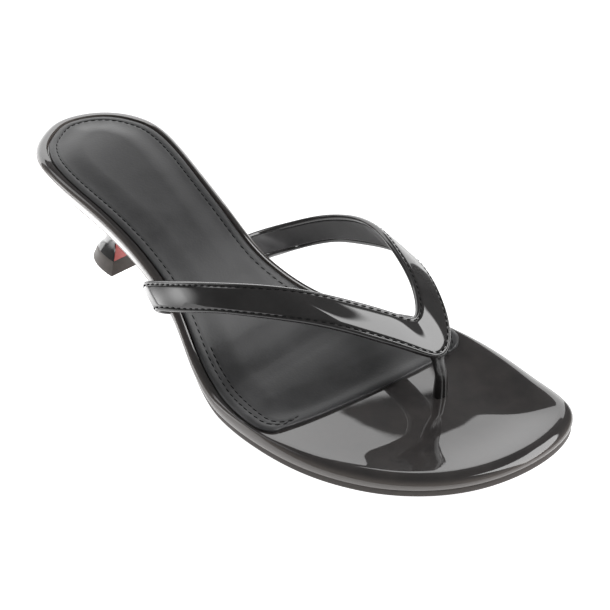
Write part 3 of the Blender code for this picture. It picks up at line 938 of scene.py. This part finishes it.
# ================================================================ stitches
def stitch_tree():
    """Geometry Nodes that lay lock stitches along a seam, each flat on the leather's face."""
    tree = bpy.data.node_groups.new("lock_stitches", "GeometryNodeTree")
    sockets = tree.interface
    sockets.new_socket("Seam", in_out="INPUT", socket_type="NodeSocketGeometry")
    for name in ("Pitch", "Length", "Thread", "Slant"):
        sockets.new_socket(name, in_out="INPUT", socket_type="NodeSocketFloat")
    sockets.new_socket("Finish", in_out="INPUT", socket_type="NodeSocketMaterial")
    sockets.new_socket("Stitches", in_out="OUTPUT", socket_type="NodeSocketGeometry")
    given = add_node(tree, "NodeGroupInput").outputs
    curve = add_node(tree, "GeometryNodeMeshToCurve", {"Mesh": given["Seam"]}).outputs[0]
    spaced = add_node(
        tree, "GeometryNodeResampleCurve", {"Curve": curve, "Length": given["Pitch"]}, mode="LENGTH"
    ).outputs[0]
    along = add_node(tree, "GeometryNodeInputTangent").outputs[0]
    lie = add_node(tree, "GeometryNodeInputNamedAttribute", {"Name": "lie"}, data_type="FLOAT_VECTOR")
    flat = add_node(
        tree,
        "FunctionNodeAxesToRotation",
        {"Primary Axis": lie.outputs[0], "Secondary Axis": along},
        primary_axis="Z",
        secondary_axis="X",
    ).outputs[0]
    uneven = add_node(
        tree,
        "FunctionNodeRandomValue",
        {2: STITCH_UNEVEN[0], 3: STITCH_UNEVEN[1], "Seed": STITCH_SEED},
        data_type="FLOAT",
    ).outputs[1]
    lean = add_node(tree, "ShaderNodeMath", {0: given["Slant"], 1: uneven}, operation="MULTIPLY").outputs[0]
    turn = add_node(tree, "FunctionNodeAxisAngleToRotation", {"Axis": (0, 0, 1), "Angle": lean}).outputs[0]
    leaning = add_node(
        tree, "FunctionNodeRotateRotation", {"Rotation": flat, "Rotate By": turn}, rotation_space="LOCAL"
    ).outputs[0]
    ball = add_node(tree, "GeometryNodeMeshUVSphere", {"Segments": 10, "Rings": 8, "Radius": 0.5}).outputs[0]
    size = add_node(
        tree, "ShaderNodeCombineXYZ", {"X": given["Length"], "Y": given["Thread"], "Z": given["Thread"]}
    ).outputs[0]
    stitch = add_node(tree, "GeometryNodeTransform", {"Geometry": ball, "Scale": size}).outputs[0]
    laid = add_node(
        tree, "GeometryNodeInstanceOnPoints", {"Points": spaced, "Instance": stitch, "Rotation": leaning}
    ).outputs[0]
    real = add_node(tree, "GeometryNodeRealizeInstances", {"Geometry": laid}).outputs[0]
    smooth = add_node(tree, "GeometryNodeSetShadeSmooth", {"Geometry": real}).outputs[0]
    dressed = add_node(
        tree, "GeometryNodeSetMaterial", {"Geometry": smooth, "Material": given["Finish"]}
    ).outputs[0]
    add_node(tree, "NodeGroupOutput", {"Stitches": dressed})
    return tree


def add_stitches(name, tree, seams, stitch, material):
    """Rows of stitches as one plain mesh. Each seam is a list of points and the normals there."""
    bm = bmesh.new()
    lie = bm.verts.layers.float_vector.new("lie")
    for seam in seams:
        line = []
        for point, normal in seam:
            vertex = bm.verts.new(in_frame(point))
            vertex[lie] = Vector([float(value) for value in normal])
            line.append(vertex)
        for start, end in zip(line, line[1:]):
            bm.edges.new((start, end))
    mesh = bpy.data.meshes.new(name + "_seam")
    bm.to_mesh(mesh)
    bm.free()
    seam_line = bpy.data.objects.new(name + "_seam", mesh)
    bpy.context.scene.collection.objects.link(seam_line)
    pitch, length, thread = stitch
    values = {
        "Pitch": pitch * MM,
        "Length": length * MM,
        "Thread": thread * MM,
        "Slant": math.radians(STITCH_SLANT),
        "Finish": material,
    }
    modifier = seam_line.modifiers.new("stitches", "NODES")
    modifier.node_group = tree
    for item in tree.interface.items_tree:
        if item.in_out == "INPUT" and item.name in values:
            modifier[item.identifier] = values[item.name]
    graph = bpy.context.evaluated_depsgraph_get()
    laid = bpy.data.meshes.new_from_object(seam_line.evaluated_get(graph), depsgraph=graph)
    bpy.data.objects.remove(seam_line)
    laid.name = name
    piece = bpy.data.objects.new(name, laid)
    bpy.context.scene.collection.objects.link(piece)
    return dress_shoe(piece)


def stitch_strap(shape, tree, thread):
    """Two rows, one inside each folded edge."""
    lift = STRAP_THICKNESS / 2 - STRAP_SEAM_DEPTH + STITCH_PROUD
    sewn = 1 - 2 * STITCH_START
    seams = []
    for front in (False, True):
        seam = []
        for i in range(STRAP_ALONG + 1):
            where = shape.end * (STITCH_START + sewn * i / STRAP_ALONG)
            share = STRAP_SEAM / shape.width(where)
            seam.append(shape.point(where, 1 - share if front else share, lift))
        seams.append(seam)
    return add_stitches("strap_stitches", tree, seams, STRAP_STITCH, thread)


def stitch_sock(shape, tree, thread):
    """A row round the sock and a second one at each front corner."""
    nudge = 0.5
    seams = []
    for line in shape.seams:
        seam = []
        for x, y in finer(line, 2 * nudge):
            z = shape.height(x, y) + STITCH_PROUD
            slope_x = shape.height(x + nudge, y) - shape.height(x - nudge, y)
            slope_y = shape.height(x, y + nudge) - shape.height(x, y - nudge)
            normal = np.array([-slope_x, -slope_y, 1.0])
            seam.append(((x, y, z), normal / np.linalg.norm(normal)))
        seams.append(seam)
    return add_stitches("sock_stitches", tree, seams, SOCK_STITCH, thread)


# ================================================================ finishes
def linear(colour):
    """An sRGB hex colour as linear red, green, blue and alpha."""
    channels = [int(colour[i : i + 2], 16) / 255 for i in (0, 2, 4)]
    return (*[c / 12.92 if c <= 0.04045 else ((c + 0.055) / 1.055) ** 2.4 for c in channels], 1.0)


def add_node(tree, kind, links=None, **settings):
    """A new node with its settings; links gives each input a value or another node's output."""
    node = tree.nodes.new(kind)
    for name, value in settings.items():
        setattr(node, name, value)
    for socket, value in (links or {}).items():
        if isinstance(value, bpy.types.NodeSocket):
            tree.links.new(value, node.inputs[socket])
        else:
            node.inputs[socket].default_value = value
    return node


def start_material(name, **values):
    """A material, its node tree, its shader with these values, and the Object coordinates."""
    material = bpy.data.materials.new(name)
    material.use_nodes = True
    tree = material.node_tree
    shader = tree.nodes["Principled BSDF"]
    for socket, value in values.items():
        shader.inputs[socket.replace("_", " ")].default_value = value
    return material, tree, shader, add_node(tree, "ShaderNodeTexCoord").outputs["Object"]


def noise(tree, place, size, detail=2.0, roughness=0.5):
    """Soft noise whose features are about size millimetres across."""
    links = {"Vector": place, "Scale": 1 / (size * MM), "Detail": detail, "Roughness": roughness}
    return add_node(tree, "ShaderNodeTexNoise", links).outputs[0]


def shade_between(tree, factor, start, end, low=0.0, high=1.0):
    """A colour that goes from start to end as factor goes from low to high."""
    ramp = add_node(tree, "ShaderNodeValToRGB", {"Fac": factor})
    first, last = ramp.color_ramp.elements
    first.position, last.position = low, high
    first.color, last.color = linear(start), linear(end)
    return ramp.outputs[0]


def grade(tree, factor, start, end, low=0.0, high=1.0):
    """A number that goes from start to end as factor goes from low to high."""
    links = {"Value": factor, "From Min": low, "From Max": high, "To Min": start, "To Max": end}
    return add_node(tree, "ShaderNodeMapRange", links, interpolation_type="SMOOTHSTEP").outputs[0]


def dye(tree, shader, pattern, dark, light, polished, dull, between=MOTTLE):
    """A base colour and a roughness that both go from one value to the other with a pattern."""
    tree.links.new(shade_between(tree, pattern, dark, light, *between), shader.inputs["Base Color"])
    tree.links.new(grade(tree, pattern, polished, dull, *between), shader.inputs["Roughness"])


def bump(tree, height, depth, below=None):
    """A bump depth millimetres high, on top of another bump where one is given."""
    links = {"Height": height, "Distance": depth * MM}
    if below is not None:
        links["Normal"] = below
    return add_node(tree, "ShaderNodeBump", links).outputs[0]


def patent_leather(name, dark, light, painted_reflection_shade=None):
    """Black calf under a poured polyurethane film: the film gives a mirror with slow waves in it,
    and the dyed leather below only a dark, faintly brown ground between the two shades. Faces that
    turn away from straight up go to the painted reflection shade where one is given: a painted reflection of
    the bright floor."""
    material, tree, shader, place = start_material(
        name, IOR=1.5, Specular_IOR_Level=0.04, Coat_Weight=1.0, Coat_Roughness=0.02, Coat_IOR=1.6
    )
    mottle = noise(tree, place, 9.0, 3.0)
    dye(tree, shader, mottle, dark, light, 0.30, 0.42)
    if painted_reflection_shade:
        # painted reflection: a paler brown-grey put on faces that turn from straight up, standing in for the
        # bright floor seen in the wall
        facing = add_node(tree, "ShaderNodeTexCoord").outputs["Normal"]
        upward = add_node(tree, "ShaderNodeSeparateXYZ", {"Vector": facing}).outputs["Z"]
        painted_reflection_share = grade(tree, upward, 1.0, 0.0, *PAINTED_REFLECTION_FACING)
        dyed = shader.inputs["Base Color"].links[0].from_socket
        ground = add_node(
            tree, "ShaderNodeMix", {"Factor": painted_reflection_share, "A": dyed, "B": linear(painted_reflection_shade)}, data_type="RGBA"
        ).outputs["Result"]
        tree.links.new(ground, shader.inputs["Base Color"])
    waves = bump(tree, noise(tree, place, 14.0, 1.0), 0.035)
    peel = bump(tree, noise(tree, place, 2.2, 1.0), 0.0012, waves)
    tree.links.new(peel, shader.inputs["Coat Normal"])
    pores = bump(tree, noise(tree, place, 0.7, 3.0), 0.01, waves)
    tree.links.new(pores, shader.inputs["Normal"])
    return material


def sock_leather():
    """Drum-dyed black nappa on foam: matt and close-grained, with a low sheen on the high places."""
    material, tree, shader, place = start_material(
        "padded_nappa", IOR=1.5, Specular_IOR_Level=0.48, Sheen_Weight=0.02, Sheen_Roughness=0.4
    )
    cloud = noise(tree, place, 11.0, 4.0, 0.6)
    dye(tree, shader, cloud, "282829", "303031", 0.39, 0.46)
    cells = add_node(
        tree, "ShaderNodeTexVoronoi", {"Vector": place, "Scale": 1 / (0.9 * MM)}, feature="SMOOTH_F1"
    ).outputs["Distance"]
    grain = bump(tree, cells, 0.02)
    fine = bump(tree, noise(tree, place, 0.35, 3.0), 0.012, grain)
    tree.links.new(fine, shader.inputs["Normal"])
    return material


def lining_leather():
    """Unfinished kid lining: softer and greyer than the upper, with creases across it."""
    material, tree, shader, place = start_material(
        "kid_lining", IOR=1.48, Specular_IOR_Level=0.35, Sheen_Weight=0.06, Sheen_Roughness=0.5
    )
    cloud = noise(tree, place, 7.0, 4.0, 0.6)
    dye(tree, shader, cloud, "2B2A2B", "393839", 0.42, 0.55)
    grain = bump(tree, noise(tree, place, 0.8, 4.0, 0.6), 0.03)
    tree.links.new(grain, shader.inputs["Normal"])
    return material


def sole_leather():
    """Bark-tanned sole leather with an inked, burnished edge: dark brown-grey, in faint layers."""
    material, tree, shader, place = start_material("inked_sole_leather", IOR=1.5, Roughness=0.45)
    streak = add_node(tree, "ShaderNodeMapping", {"Vector": place, "Scale": (0.35, 0.35, 3.0)}).outputs[0]
    layers = noise(tree, streak, 0.9, 3.0)
    dye(tree, shader, layers, "322C29", "47403C", 0.38, 0.55)
    tree.links.new(bump(tree, layers, 0.03), shader.inputs["Normal"])
    return material


def coral_leather():
    """Coral sheepskin with a resin finish: even colour, a soft shine and a tight grain."""
    material, tree, shader, place = start_material(
        "coral_sheepskin", IOR=1.5, Coat_Weight=0.4, Coat_Roughness=0.22, Coat_IOR=1.5
    )
    cloud = noise(tree, place, 5.0, 3.0)
    dye(tree, shader, cloud, "BC4640", "C44E48", 0.38, 0.48)
    tree.links.new(bump(tree, noise(tree, place, 0.5, 3.0), 0.012), shader.inputs["Normal"])
    return material


def heel_rubber():
    """Moulded polyurethane top piece: matt and brown-grey, with scuffs near the floor."""
    material, tree, shader, place = start_material("moulded_top_piece", IOR=1.5)
    speck = noise(tree, place, 0.6, 4.0, 0.6)
    scuff = noise(tree, place, 2.5, 5.0, 0.7)
    dye(tree, shader, scuff, "423C38", "514A45", 0.42, 0.6, (0.35, 0.7))
    tree.links.new(bump(tree, speck, 0.02), shader.inputs["Normal"])
    return material


def post_leather():
    """The same calf rolled into a tab: its film is stretched and a little duller."""
    material, tree, shader, place = start_material(
        "rolled_calf", IOR=1.5, Coat_Weight=0.8, Coat_Roughness=0.12, Coat_IOR=1.5
    )
    mottle = noise(tree, place, 3.0, 3.0)
    dye(tree, shader, mottle, "0F0E0E", "1A1818", 0.35, 0.5)
    pull = add_node(tree, "ShaderNodeMapping", {"Vector": place, "Scale": (1.6, 1.6, 0.35)}).outputs[0]
    folds = bump(tree, noise(tree, pull, 1.8, 2.0), 0.09)
    tree.links.new(folds, shader.inputs["Normal"])
    tree.links.new(folds, shader.inputs["Coat Normal"])
    return material


def stitch_thread():
    """Bonded black polyester thread: a little shine along its twist."""
    material, tree, shader, place = start_material(
        "bonded_thread", IOR=1.5, Specular_IOR_Level=0.2, Roughness=0.6
    )
    twist = add_node(
        tree, "ShaderNodeTexWave", {"Vector": place, "Scale": 1 / (1.6 * MM), "Distortion": 1.0}
    ).outputs[1]
    tree.links.new(shade_between(tree, twist, "060606", "101010"), shader.inputs["Base Color"])
    tree.links.new(bump(tree, twist, 0.03), shader.inputs["Normal"])
    return material


# ================================================================ studio
def studio_floor():
    """A plain pale floor, lit from below so that it throws no hard shadow, and brightest beside the heel."""
    bpy.ops.mesh.primitive_circle_add(
        vertices=96, radius=FLOOR_RADIUS, location=FLOOR_MIDDLE, fill_type="NGON"
    )
    floor = bpy.context.object
    floor.name = "studio_floor"
    material, tree, shader, place = start_material("pale_floor", Roughness=0.9, Specular_IOR_Level=0.1)
    cloud = noise(tree, place, 400.0, 2.0)
    tree.links.new(shade_between(tree, cloud, "B2B2B3", "B8B8B8"), shader.inputs["Base Color"])
    shader.inputs["Emission Color"].default_value = linear("FFFFFF")
    from_spot = add_node(
        tree, "ShaderNodeVectorMath", {0: place, 1: HOT_SPOT_PLACE}, operation="DISTANCE"
    ).outputs["Value"]
    glow = grade(tree, from_spot, FLOOR_GLOW + HOT_SPOT, FLOOR_GLOW, *HOT_SPOT_REACH)
    tree.links.new(glow, shader.inputs["Emission Strength"])
    floor.data.materials.append(material)
    return floor


def studio_light():
    """A dim room with a white card behind the shoe, a tall window of soft light on its inner side
    and a low and a high glow on its outer side. The backdrop itself is white paper."""
    world = bpy.data.worlds.new("studio")
    bpy.context.scene.world = world
    world.use_nodes = True
    tree = world.node_tree
    tree.nodes.clear()
    toward = add_node(tree, "ShaderNodeTexCoord").outputs["Generated"]
    turned = add_node(
        tree,
        "ShaderNodeVectorRotate",
        {"Vector": toward, "Angle": -math.radians(AWAY_FROM_CAMERA)},
        rotation_type="Z_AXIS",
    ).outputs[0]
    parts = add_node(tree, "ShaderNodeSeparateXYZ", {"Vector": turned}).outputs
    around = add_node(tree, "ShaderNodeMath", {0: parts["Y"], 1: parts["X"]}, operation="ARCTAN2").outputs[0]
    above = add_node(tree, "ShaderNodeMath", {0: parts["Z"]}, operation="ARCSINE").outputs[0]
    total = ROOM_LIGHT
    for strength, *edges, low_lean, high_lean, blur in (BACK_CARD, SIDE_WINDOW, SIDE_GLOW, HIGH_GLOW):
        right, left, low, high = (math.radians(edge) for edge in edges)
        soft = math.radians(blur)
        foot, head = (
            add_node(
                tree, "ShaderNodeMath", {0: around, 1: -lean, 2: above}, operation="MULTIPLY_ADD"
            ).outputs[0]
            for lean in (low_lean, high_lean)
        )
        sides = (
            (around, right - soft, right + soft),
            (around, left + soft, left - soft),
            (foot, low - soft, low + soft),
            (head, high + soft, high - soft),
        )
        panel = strength
        for value, outside, inside in sides:
            within = grade(tree, value, 0.0, 1.0, outside, inside)
            panel = add_node(tree, "ShaderNodeMath", {0: panel, 1: within}, operation="MULTIPLY").outputs[0]
        total = add_node(tree, "ShaderNodeMath", {0: total, 1: panel}, operation="ADD").outputs[0]
    white = (1, 1, 1, 1)
    light = add_node(tree, "ShaderNodeBackground", {"Color": white, "Strength": total}).outputs[0]
    paper = add_node(tree, "ShaderNodeBackground", {"Color": white, "Strength": FLOOR_GLOW}).outputs[0]
    seen = add_node(tree, "ShaderNodeLightPath").outputs["Is Camera Ray"]
    surface = add_node(tree, "ShaderNodeMixShader", {0: seen, 1: light, 2: paper}).outputs[0]
    add_node(tree, "ShaderNodeOutputWorld", {"Surface": surface})


def photographer():
    """The camera, above and in front of the shoe on its outer side."""
    camera = bpy.data.cameras.new("camera")
    camera.lens = CAMERA_LENS
    camera.sensor_width = CAMERA_FILM
    camera.clip_start = 0.01
    stand = bpy.data.objects.new("camera", camera)
    bpy.context.scene.collection.objects.link(stand)
    place, aim = Vector(CAMERA_PLACE), Vector(CAMERA_AIM)
    turn = (aim - place).to_track_quat("-Z", "Y").to_matrix().to_4x4()
    roll = Matrix.Rotation(math.radians(CAMERA_ROLL), 4, "Z")
    stand.matrix_world = Matrix.Translation(place) @ turn @ roll
    bpy.context.scene.camera = stand


def main():
    for obj in list(bpy.data.objects):
        bpy.data.objects.remove(obj, do_unlink=True)
    bpy.context.scene.view_settings.view_transform = "Standard"
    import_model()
    patent = patent_leather("patent_calf", "252424", "2C2B2B")
    sock, lining = sock_leather(), lining_leather()
    thread = stitch_thread()
    make_outsole(sole_leather())
    # the fourth shade is a painted reflection of the floor on the platform's wall
    make_platform(patent_leather("insole_cover_calf", "2A2828", "33302F", "57524F"))
    sock_shape = SockShape()
    make_sock(sock_shape, sock)
    strap_shape = StrapShape()
    make_strap(strap_shape, patent)
    make_strap_lining(strap_shape, lining)
    make_toe_post(post_leather())
    make_heel(patent, heel_rubber(), coral_leather())
    tree = stitch_tree()
    stitch_strap(strap_shape, tree, thread)
    stitch_sock(sock_shape, tree, thread)
    studio_floor()
    studio_light()
    photographer()


main()
